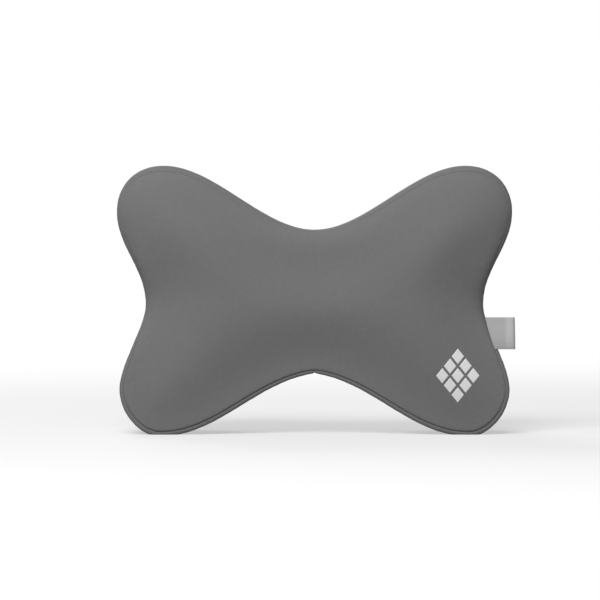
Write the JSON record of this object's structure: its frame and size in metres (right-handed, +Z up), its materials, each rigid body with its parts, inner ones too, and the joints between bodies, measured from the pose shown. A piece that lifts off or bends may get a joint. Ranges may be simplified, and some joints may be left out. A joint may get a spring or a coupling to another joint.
{
  "type": "car neck pillow",
  "caption": "Bone-shaped foam neck pillow in a zipped grey cover, with a webbing strap and side-release buckle behind it for a headrest.",
  "frame": {"origin": "on the flat back, in the middle of the area that lies against a headrest", "axes": "+X to the right seen from the front, +Y out of the flat back towards the headrest, +Z up"},
  "size_m": [0.3024, 0.1195, 0.204],
  "materials": {
    "cover": "smooth matte mid-grey soft knit",
    "foam": "cream memory foam with a moulded skin",
    "zip_tape": "dark grey woven tape",
    "zip_teeth": "dark nylon coil",
    "zip_metal": "plated zinc alloy, satin",
    "webbing": "black woven webbing",
    "buckle": "black moulded acetal, fine grain",
    "label": "light grey satin ribbon"
  },
  "bodies": {
    "pillow": {"cover_front_panel": "cover", "cover_side_band": "cover", "cover_back_upper": "cover", "cover_back_lower": "cover", "foam_core": "foam", "zip_tape_upper": "zip_tape", "zip_tape_lower": "zip_tape", "zip_teeth_upper": "zip_teeth", "zip_teeth_lower": "zip_teeth", "zip_bottom_stop": "zip_metal", "zip_top_stop_upper": "zip_metal", "zip_top_stop_lower": "zip_metal", "side_label": "label", "strap_left": "webbing", "strap_right": "webbing", "buckle_plug": "buckle"},
    "slider": {"zip_slider": "zip_metal"},
    "pull": {"zip_pull": "zip_metal"},
    "keeper": {"strap_keeper": "buckle"},
    "socket": {"buckle_socket": "buckle"}
  },
  "joints": [
    {"name": "zip_open", "type": "slide", "parent": "pillow", "child": "slider", "axis": [-1, 0, 0], "range_m": [0, 0.1838]},
    {"name": "pull_swing", "type": "hinge", "parent": "slider", "child": "pull", "pos_m": [0.0919, 0.0023, -0.014], "axis": [0, 0, -1], "range_deg": [0, 170]},
    {"name": "keeper_slide", "type": "slide", "parent": "pillow", "child": "keeper", "axis": [1, 0, 0], "range_m": [-0.014, 0.012]},
    {"name": "buckle_release", "type": "slide", "parent": "pillow", "child": "socket", "axis": [1, 0, 0], "range_m": [0, 0.022], "deforming": ["strap_right", "buckle_plug"]}
  ]
}
